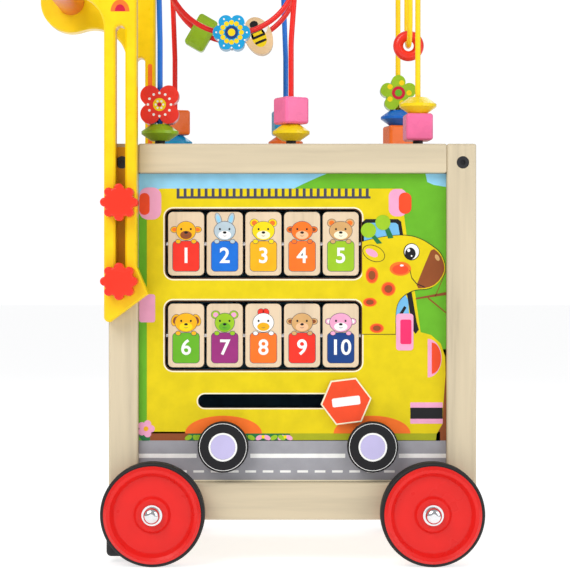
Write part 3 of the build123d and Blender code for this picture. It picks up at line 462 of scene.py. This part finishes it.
# driver's window over the neck and windscreen under the jaw
cabin = [(57.1, 262), (57.1, 278), (60, 280.6), (86.4, 280.6), (89, 278.6), (91.0, 266)]
picture.plate("black", 5, cabin)
picture.plate("glass", 6, [(58.6, 262), (58.6, 276), (61, 277.6), (84.6, 277.6), (86.6, 276), (88.2, 266)])
picture.plate("glass", 6, smoothOutline([(94.4, 221), (86, 213), (83.4, 203), (84, 194), (96, 194)], 1))
pillar = [(93.4, 222), (97.4, 222), (101.8, 196), (103.6, 190), (100.8, 186.6), (98.4, 190)]
picture.plate("black", 7, pillar)
picture.plate("black", 7, [(87.5, 203), (91.6, 209.5), (93.4, 208), (90.4, 203)])
# lamps, mirror and bumper
for ink, layer, box4, r in (
    ("rose", 5, (-125.6, 280.2, -107.5, 306.5), 7), ("scarlet", 6, (-125.4, 284, -117, 302), 4),
    ("rose", 5, (-125.6, 196, -112.5, 219), 2),
    ("rose", 6, (78.9, 282.8, 93.9, 305.3), 6), ("scarlet", 7, (87.1, 284.9, 97.5, 302.4), 5),
    ("rose", 5, (96.6, 113, 123.1, 130.4), 0.5), ("black", 6, (96.6, 117, 123.1, 126.1), 0.3),
    ("rose", 8, (84.9, 173, 99.1, 203.2), 2.6), ("magenta", 9, (88.4, 178.1, 97.5, 198.3), 1.6),
):
    picture.plate(ink, layer, roundOutline(*box4, r))
picture.plate("rose", 5, circleOutline(110.8, 166.7, 11.4, 15.8, count=32, start=-90, end=90))
picture.plate("scarlet", 6, circleOutline(114.1, 166.7, 7.6, 12.8, count=32, start=-90, end=90))
# bare branches in front of the hill: thick end, thin end, half thickness
for (ax, az), (bx, bz), half in (
    ((125.8, 219.6), (101, 215.4), 1.2),
    ((117, 217.2), (125.6, 238), 0.8),
    ((111, 216), (125.6, 204), 0.8),
):
    picture.plate("brown", 5, [(ax, az - half), (bx, bz - 0.6), (bx, bz + 0.6), (ax, az + half)])
for i in range(blossom["petals"]):
    turn = i * 2 * pi / blossom["petals"]
    petalX = blossom["x"] + blossom["spread"] * cos(turn)
    petalZ = blossom["z"] + blossom["spread"] * sin(turn)
    picture.plate("rose", 5 + 0.4 * i, circleOutline(petalX, petalZ, blossom["petal"]))
picture.plate("amber", 8, circleOutline(blossom["x"], blossom["z"], blossom["heart"]))
# driver: a dark line behind each shape edges it
neck = [(57.1, 186.5), (57.1, 262), (63, 263.6), (78.9, 267), (94.7, 267.4), (105.7, 264.2), (114.9, 258.3),
        (121.5, 253), (125.3, 243.3), (124.7, 235.4), (118.4, 226.7), (110.5, 223.2), (101.8, 223.1),
        (96.3, 221.2), (89.9, 217.3), (86, 211.7), (84.4, 203.8), (84.4, 186.5)]
# a corner that is listed three times stays sharp when the outline is smoothed
held = [neck[0]] * 3 + [neck[1]] * 3 + neck[2:-1] + [neck[-1]] * 3
smoothed = smoothOutline(held, 2)
following = smoothed[1:] + smoothed[:1]
head = [p for p, q in zip(smoothed, following) if abs(p[0] - q[0]) + abs(p[1] - q[1]) > 0.01]
edgeLine = [(min(u * 1.001 + 0.2, 125.7), v + (0.5 if v > 225 else -0.5)) for u, v in head]
picture.plate("black", 9, edgeLine)
picture.plate("busYellow", 10, head)
muzzle = [(114.4, 257.4), (121, 252), (124.6, 243), (124, 236), (118, 227.6), (110.5, 224.2), (100.6, 223.7),
          (105, 235), (110, 247)]
picture.plate("brown", 11, smoothOutline(muzzle, 1))
picture.plate("tan", 12, circleOutline(118.6, 249, 1.6, 2.8, 30))
smile = [(96.0, 238.6), (97.6, 232.0), (101.6, 227.2), (108, 224.6)]
picture.plate("black", 12, smile + [(u + 0.35, v + 0.7) for u, v in reversed(smile)])
driverFace = [  # ink, layer, x, z, half width, half height, tilt
    ("black", 12, 97.5, 253.8, 6.6, 7.0, 0), ("white", 13, 97.7, 253.9, 5.9, 6.3, 0),
    ("black", 14, 96.6, 252.4, 4.3, 4.9, 0), ("white", 15, 95.2, 255, 1.2, 1.4, 0),
    ("white", 15, 97.6, 250.4, 0.7, 0.7, 0), ("orange", 12, 88.4, 239.9, 8.8, 5.8, 0),
    ("scarlet", 13, 88.4, 239.4, 6.6, 4.0, 0), ("white", 14, 89.6, 242.6, 1.6, 0.8, 0),
    ("black", 12, 66.6, 252.5, 9.7, 6.4, -25), ("busYellow", 13, 66.6, 252.5, 9.2, 5.9, -25),
    ("rose", 14, 65.0, 252.9, 5.4, 2.8, -28),
]
for ink, layer, x, z, rx, rz, turn in driverFace:
    picture.plate(ink, layer, circleOutline(x, z, rx, rz, turn))
for ballX, ballZ, footX, footZ in ((62.3, 271.4, 71.4, 260.2), (74.1, 277.8, 80.6, 264.6)):
    horn = [(footX - 2.2, footZ), (ballX + 0.6, ballZ - 3), (ballX + 4.4, ballZ - 3),
            (footX + 2.2, footZ + 0.6)]
    picture.plate("darkGreen", 12, horn)
    picture.plate("leaf", 13, circleOutline(ballX, ballZ, 6.2))
neckSpots = [(65.1, 234.6, 5.2, 6.8), (78.6, 223.4, 5.9, 5.8), (63.4, 212.5, 5.7, 3.7),
             (69.1, 191.2, 5.8, 4.0)]
for x, z, rx, rz in neckSpots:
    picture.plate("orange", 12, circleOutline(x, z, rx, rz))
    picture.plate("scarlet", 13, circleOutline(x, z, rx * 0.82, rz * 0.82))
    picture.plate("brown", 14, circleOutline(x, z, rx * 0.55, rz * 0.55))
picture.build()
print("tile-side picture laid")

# number tiles: an animal's head over a coloured card, the same numeral on the back

tileLook = [  # inks of card, head and muzzle, ear form, ear ink, how wide the head is
    ("red", "amber", "brown", "side", "orange", 0.92), ("blue", "blueGrey", "white", "long", "sky", 1.0),
    ("amber", "yellow", "cream", "round", "orange", 1.05),
    ("orange", "orange", "peach", "side", "brown", 1.0),
    ("leaf", "tan", "cream", "round", "orange", 1.08), ("green", "amber", "yellow", "flop", "brown", 1.05),
    ("plum", "leaf", "green", "round", "rose", 0.92), ("orange", "white", "amber", "comb", "red", 0.98),
    ("red", "tan", "peach", "side", "brown", 1.0), ("navy", "rose", "white", "side", "white", 1.06),
]
earForm = {  # ellipses: offset x, offset z, half width, half height, tilt
    "long": (5.2, 9.6, 1.9, 4.6, -16), "round": (7.4, 6.4, 2.9, 2.9, 0),
    "side": (9.4, 1.0, 2.6, 2.2, 0), "flop": (8.6, 2.0, 2.7, 4.4, 20), "comb": (1.9, 8.4, 2.2, 2.6, 0),
}


numeralLook = {"front": 0.0175, "back": 0.018, "lift": 3.2 * inkStep}


def addNumeral(name, text, place, size, body, back=False):
    curve = bpy.data.curves.new(name, "FONT")
    curve.body, curve.size, curve.extrude = text, size, 0.12 * mm
    curve.align_x, curve.align_y, curve.offset = "CENTER", "CENTER", size * 0.018
    letter = bpy.data.objects.new(name + "Curve", curve)
    bpy.context.scene.collection.objects.link(letter)
    turn = Matrix.Rotation(pi, 4, "Z") if back else Matrix.Identity(4)
    letter.matrix_world = Matrix.Translation(place) @ turn @ Matrix.Rotation(pi / 2, 4, "X")
    bpy.context.view_layer.update()
    mesh = bpy.data.meshes.new_from_object(letter.evaluated_get(bpy.context.evaluated_depsgraph_get()))
    mesh.transform(letter.matrix_world)
    bpy.data.objects.remove(letter)
    bm = bmesh.new()
    bm.from_mesh(mesh)
    bmesh.ops.remove_doubles(bm, verts=bm.verts, dist=0.00001)
    bmesh.ops.triangulate(bm, faces=[f for f in bm.faces if len(f.verts) > 4])
    return finishMesh(name, bm, "white", body)


for number, (card, head, muzzle, form, ear, wide) in enumerate(tileLook, start=1):
    node = f"number_tile_{number:02d}"
    body = bodyOf[node]
    low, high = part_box(node)
    cx, cz = ((low.x + high.x) / 2 - middleX) / mm, (low.z + high.z) / 2 / mm
    art = Art(f"tile{number}", nearFace(low.y), body, "tile_wood")
    art.plate("slate", 1, roundOutline(cx - 11.2, cz - 22.8, cx + 11.2, cz + 2.5, 3.4))
    art.plate(card, 2, roundOutline(cx - 10.8, cz - 22.4, cx + 10.8, cz + 2.1, 3.0))
    headZ = cz + 10.6
    ox, oz, rx, rz, tilt = earForm[form]
    for side in (-1, 1):
        earX, earZ, lean = cx + side * ox, headZ + oz, side * tilt
        art.plate("slate", 1, circleOutline(earX, earZ, rx * 1.2 + 0.35, rz * 1.1 + 0.35, lean, 20))
        art.plate(ear if form == "comb" else head, 2, circleOutline(earX, earZ, rx * 1.2, rz * 1.1, lean, 20))
        art.plate(ear, 3, circleOutline(earX, earZ, rx * 0.75, rz * 0.7, lean, 16))
        art.plate("slate", 7, circleOutline(cx + side * 6.4, cz + 1.9, 2.35, 1.95, 0, 16))
        art.plate(head, 8, circleOutline(cx + side * 6.4, cz + 1.9, 2.0, 1.6, 0, 16))
    art.plate("slate", 4, circleOutline(cx, headZ, 8.6 * wide + 0.35, 7.95, 0, 36))
    art.plate(head, 5, circleOutline(cx, headZ, 8.6 * wide, 7.6, 0, 36))
    art.plate(muzzle, 6, circleOutline(cx, headZ - 3.4, 5.2 * wide, 3.4, 0, 24))
    for side in (-1, 1):
        art.plate("black", 7, circleOutline(cx + side * 3.9, headZ + 1.4, 0.8, 0.95, 0, 12))
    art.plate("amber" if form == "comb" else "black", 8, circleOutline(cx, headZ - 1.4, 1.5, 1.0, 0, 14))
    mouth = [(cx - 2.2, headZ - 3.6), (cx, headZ - 4.8), (cx + 2.2, headZ - 3.6), (cx, headZ - 4.3)]
    art.plate("slate", 8, smoothOutline(mouth, 1))
    art.build()
    back = Art(f"tile{number}Back", farFace(high.y), body, "tile_wood")
    back.plate(card, 2, roundOutline(-cx - 11.2, cz - 12, -cx + 11.2, cz + 12, 4.0))
    back.build()
    numeralZ = (cz - 10.2) * mm
    front = Vector((middleX + cx * mm, low.y - numeralLook["lift"], numeralZ))
    rear = Vector((middleX + cx * mm, high.y + numeralLook["lift"], cz * mm))
    addNumeral(f"tile{number}Numeral", str(number), front, numeralLook["front"], body)
    addNumeral(f"tile{number}BackNumeral", str(number), rear, numeralLook["back"], body, True)
print("tiles drawn")

# sign, small wheels and their hubs

signLow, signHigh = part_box("turning_sign")
signX = ((signLow.x + signHigh.x) / 2 - middleX) / mm
signZ = (signLow.z + signHigh.z) / 2 / mm
sign = Art("sign", nearFace(signLow.y), "sign_plate", "red_paint")
signLook = {"radius": 19.6, "turn": 7, "barHalf": 11.5, "barRise": 3.6, "barRound": 1.4}
corners = [radians(signLook["turn"] - 60 * i) for i in range(6)]
hexagon = [(signX + signLook["radius"] * cos(a), signZ + signLook["radius"] * sin(a)) for a in corners]
sign.plate("scarlet", 1, hexagon)
barX, barZ = signLook["barHalf"], signLook["barRise"]
barBox = (signX - barX, signZ - barZ, signX + barX, signZ + barZ)
sign.plate("white", 2, roundOutline(*barBox, signLook["barRound"], signLook["turn"]))
sign.build()
for place in ("rear", "front"):
    low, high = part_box(place + "_small_wheel")
    cx, cz = ((low.x + high.x) / 2 - middleX) / mm, (low.z + high.z) / 2 / mm
    rim = Art(place + "Rim", nearFace(low.y), place + "_picture_wheel", "black_paint")
    rim.plate("white", 1, circleOutline(cx, cz, 19.3), [circleOutline(cx, cz, 18.9)])
    rim.plate("white", 1, circleOutline(cx, cz, 11.6), [circleOutline(cx, cz, 10.1)])
    rim.build()
print("sign and small wheels drawn")

# handle boards: long-necked animal's face, spots and a printed dome under the jaw

for place, side in (("near", -1), ("far", 1)):
    low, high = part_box(f"handle_board_{place}")
    outside = nearFace(low.y) if side < 0 else farFace(high.y)
    flip = 1 if side < 0 else -1
    inside = farFace(high.y) if side < 0 else nearFace(low.y)

    def outer(art, ink, layer, outline):
        art.plate(ink, layer, [(flip * u, v) for u, v in outline])

    face = Art(f"{place}Face", outside, "push_handle", "yellow_paint")
    outer(face, "tan", 1, circleOutline(-206, 487, 22.5, 24.5))
    outer(face, "brown", 2, circleOutline(-218, 494, 2.6, 3.8, 20))
    smile = [(-224, 474), (-212, 468), (-196, 471), (-186, 478), (-197, 469.6), (-212, 466)]
    outer(face, "brown", 2, smoothOutline(smile, 2))
    outer(face, "white", 1, circleOutline(-172, 517, 8.2, 9.4))
    outer(face, "black", 2, circleOutline(-173.5, 516.5, 5.6, 7.0))
    outer(face, "white", 3, circleOutline(-175, 519.5, 1.9))
    outer(face, "orange", 1, circleOutline(-160, 494, 9, 6.2))
    outer(face, "lavender", 1, circleOutline(-116.5, 531.5, 10.5, 4.2, 38))
    for x in (-138, -156):
        outer(face, "green", 1, circleOutline(x, 584, 5.8))
    for x, z, r in ((-141, 540, 5.5), (-136, 512, 5.0), (-147, 478, 5.2), (-133.5, 462, 4.2)):
        outer(face, "orange", 1, circleOutline(x, z, r, r * 0.8, 30))
        outer(face, "crimson", 2, circleOutline(x + 0.5, z - 0.3, r * 0.55, r * 0.42, 30))
    outer(face, "orange", 1, circleOutline(-139, 447, 7.6, 9.6, count=28, start=0, end=180))
    outer(face, "crimson", 2, circleOutline(-139, 447.2, 4.2, 5.6, count=24, start=0, end=180))
    face.build()
    # painted shade: an orange strip on the board's inner face stands in for the shaded guide groove, its
    # yellow paint darkened to orange
    grooveShade = Art(f"{place}Strip", inside, "push_handle", "yellow_paint")
    grooveShade.plate("orange", 1, [(-flip * u, v) for u, v in roundOutline(-132.2, 250, -128.2, 430, 1.8)])
    grooveShade.build()
    # painted bounce light and shade: an amber strip on the birch post face behind the board's slot, with
    # openings for the bolts, stands for the orange cast from the yellow slot walls
    slotBounceLight = Art(f"{place}Band", nearFace(-0.1) if side < 0 else farFace(0.1), "walker_frame", "birch_wood")
    boltHoles = [circleOutline(-139, z, r, count=20) for z, r in ((326.6, 5.2), (292.8, 3.3), (229.5, 3.3))]
    rings = [roundOutline(-143.2, 206, -134.6, 339, 1.0)] + boltHoles
    strip, *holes = [[(flip * u, v) for u, v in ring] for ring in rings]
    slotBounceLight.plate("amber", 1, strip, holes)
    slotBounceLight.build()
    print("handle board", place, "painted")

# bead prints

beadPrints = {  # node: (slot, rings of dots and discs as ink, layer, ring radius, dot radius, how many)
    "red_flower": ("red_paint", [
        ("white", 1, 9.6, 1.1, 12), ("yellow", 1, 0, 5.4, 1),
        ("white", 2, 3.1, 0.9, 6), ("crimson", 2, 0, 1.9, 1),
    ]),
    "blue_flower": ("blue_paint", [
        ("yellow", 1, 8.4, 2.1, 12), ("navy", 2, 0, 5.6, 1),
        ("yellow", 3, 0, 3.2, 1), ("white", 1, 13.0, 0.8, 12),
    ]),
}


def dotPrint(art, cx, cz, marks):
    for ink, layer, ring, r, many in marks:
        for i in range(many):
            a = 2 * pi * i / many
            art.plate(ink, layer, circleOutline(cx + ring * cos(a), cz + ring * sin(a), r, count=18))


for name in ("red_flower", "blue_flower"):
    slotName, marks = beadPrints[name]
    low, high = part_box(name)
    cx, cz = ((low.x + high.x) / 2 - middleX) / mm, (low.z + high.z) / 2 / mm
    for label, face, flip in (("Front", nearFace(low.y), 1), ("Back", farFace(high.y), -1)):
        art = Art(name.replace("_f", "F") + label, face, bodyOf[name], slotName)
        dotPrint(art, flip * cx, cz, marks)
        art.build()
low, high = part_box("yellow_wire_far_beads")
flowerX, flowerZ = ((low.x + high.x) / 2 - middleX) / mm, high.z / mm - 16
flowerY, flowerHalf = (low.y + high.y) / 2, 7.5 * mm
frontFlowerMarks = [("yellow", 1, 9.4, 2.4, 5), ("crimson", 2, 0, 6.0, 1), ("green", 3, 0, 3.2, 1)]
flowerSides = (("Front", nearFace(flowerY - flowerHalf), 1), ("Back", farFace(flowerY + flowerHalf), -1))
for label, face, flip in flowerSides:
    art = Art("frontFlower" + label, face, "yellow_wire_far_stack", "mixed_bead_paint")
    dotPrint(art, flip * flowerX, flowerZ, frontFlowerMarks)
    art.build()
# a striped bee on the natural bead of the coil
beeX, beeZ = -51.5 + 56.5 * sin(radians(23)), 497.6 - 56.5 * cos(radians(23))
bee = scaledAt(beeX, beeZ, 1.0, 23)
for label, face, flip in (("Front", nearFace(21 * mm), 1), ("Back", farFace(35 * mm), -1)):
    art = Art("bee" + label, face, "coil_far_stack", "mixed_bead_paint")
    def stamp(ink, layer, outline):
        art.plate(ink, layer, [(flip * u, v) for u, v in mapped(outline, bee)])
    stamp("yellow", 1, circleOutline(0, -1, 6.4, 9.4))
    for z, half in ((-5.5, 5.2), (-0.5, 6.1), (4.5, 4.8)):
        stamp("black", 2, roundOutline(-half, z - 1.1, half, z + 1.1, 0.8))
    stamp("black", 2, circleOutline(0, 10.6, 3.8, 3.2))
    stamp("white", 1, circleOutline(-7.6, 4, 2.6, 4.6, 40))
    stamp("white", 1, circleOutline(7.6, 4, 2.6, 4.6, -40))
    art.build()
print("beads printed")

# the other three sides: quiet painted hills under a sky


def crest(half, base, rise, waves, shift):
    steps = 24
    return [
        (-half + 2 * half * i / steps, base + rise * sin(waves * pi * i / steps + shift))
        for i in range(steps + 1)
    ]


def hillSide(name, face, half, sunX, phase):
    art = Art(name, face, "walker_frame", "plain_panel")
    far = crest(half, 178, 18, 2.2, phase)
    near = crest(half, 132, 14, 3.1, phase + 1.2)
    art.plate("leaf", 1, [(-half, bottom)] + far + [(half, bottom)])
    art.plate("green", 2, [(-half, bottom)] + near + [(half, bottom)])
    art.plate("road", 3, [(-half, bottom), (-half, 92), (half, 92), (half, bottom)])
    art.plate("white", 4, roundOutline(-half, 86.6, half, 89.6, 0.3))
    art.plate("amber", 1, circleOutline(sunX, 278, 17))
    art.plate("yellow", 2, circleOutline(sunX, 278, 13.5))
    for cloudX, cloudZ, size in ((-0.45 * half, 255, 1.0), (0.5 * half, 232, 0.8)):
        for puff, (u, v, r) in enumerate(((-12, 0, 8), (0, 4, 10.5), (12, 0, 8), (0, -2, 9))):
            art.plate("white", 3 + puff, circleOutline(cloudX + u * size, cloudZ + v * size, r * size))
    for treeX, treeZ in ((-0.7 * half, 142), (-0.1 * half, 128), (0.62 * half, 138)):
        art.plate("brown", 4, roundOutline(treeX - 2, treeZ - 14, treeX + 2, treeZ + 6, 0.8))
        art.plate("darkGreen", 5, circleOutline(treeX, treeZ + 16, 11, 14))
        art.plate("leaf", 6, circleOutline(treeX - 3, treeZ + 20, 4.5, 5.5, 20))
    art.build()


hillSide("farHills", farFace(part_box("far_panel")[1].y), 125.8, 70, 0.4)
endLow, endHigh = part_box("end_panels")
hillSide("rearHills", lambda u, v, d: Vector((endLow.x - d, -u * mm, v * mm)), 75.8, 34, 2.0)
hillSide("frontHills", lambda u, v, d: Vector((endHigh.x + d, u * mm, v * mm)), 75.8, -30, 3.4)
print("other sides painted")

# floor, light and camera

studio = {"floorSize": 40.0, "floorGlow": 0.70, "key": 24, "fill": 12, "back": 11,
          "roomLight": 0.44, "roomSeen": 1.05}
view = {"lens": 120.7, "sensor": 36.0, "aside": -0.0061, "away": -1.658, "height": 0.2266}
floorMaterial, floorTree, floorShader = newMaterial("floorPaper", 0.75)
floorGrain = noiseAt(floorTree, 30.0)
floorStops = [(0.2, (0.56, 0.56, 0.56)), (0.8, (0.59, 0.59, 0.59))]
floorRamp = rampOf(floorTree, floorGrain.outputs["Fac"], floorStops)
floorTree.links.new(floorRamp.outputs["Color"], floorShader.inputs["Base Color"])
floorShader.inputs["Emission Color"].default_value = (1, 1, 1, 1)
floorShader.inputs["Emission Strength"].default_value = studio["floorGlow"]
bm = bmesh.new()
halfFloor = studio["floorSize"] / 2
corners = [(-halfFloor, -halfFloor), (halfFloor, -halfFloor), (halfFloor, halfFloor), (-halfFloor, halfFloor)]
bm.faces.new([bm.verts.new((x, y, 0)) for x, y in corners])
floorMesh = bpy.data.meshes.new("paperFloor")
bm.to_mesh(floorMesh)
bm.free()
paperFloor = bpy.data.objects.new("paperFloor", floorMesh)
bpy.context.scene.collection.objects.link(paperFloor)
floorMesh.materials.append(floorMaterial)


def addArea(name, place, target, size, power, colour=(1, 1, 1)):
    light = bpy.data.lights.new(name, "AREA")
    light.size, light.energy, light.color = size, power, colour
    lamp = bpy.data.objects.new(name, light)
    lamp.location = place
    lamp.rotation_euler = (Vector(target) - Vector(place)).to_track_quat("-Z", "Y").to_euler()
    bpy.context.scene.collection.objects.link(lamp)


addArea("keyLight", (-0.9, -1.5, 1.5), (0, 0, 0.25), 1.2, studio["key"], (1, 0.985, 0.96))
addArea("fillLight", (1.5, -1.2, 0.9), (0, 0, 0.25), 1.4, studio["fill"], (0.97, 0.985, 1))
addArea("backLight", (0.4, 1.5, 1.7), (0, 0, 0.3), 1.4, studio["back"])
world = bpy.data.worlds.new("softRoom")
world.use_nodes = True
room = world.node_tree.nodes["Background"]
room.inputs["Color"].default_value = (0.97, 0.98, 1.0, 1)
# the room lights the toy softly but is itself seen as white
rayKind = addNode(world.node_tree, "ShaderNodeLightPath")
roomStrength = addNode(world.node_tree, "ShaderNodeMapRange")
roomStrength.inputs["To Min"].default_value = studio["roomLight"]
roomStrength.inputs["To Max"].default_value = studio["roomSeen"]
world.node_tree.links.new(rayKind.outputs["Is Camera Ray"], roomStrength.inputs["Value"])
world.node_tree.links.new(roomStrength.outputs["Result"], room.inputs["Strength"])
bpy.context.scene.world = world

camera = bpy.data.cameras.new("camera")
camera.lens, camera.sensor_width = view["lens"], view["sensor"]
eye = bpy.data.objects.new("camera", camera)
eye.location = (middleX + view["aside"], view["away"], view["height"])
eye.rotation_euler = (pi / 2, 0, 0)
bpy.context.scene.collection.objects.link(eye)
bpy.context.scene.camera = eye
bpy.context.scene.view_settings.view_transform = "Standard"
print("studio set")
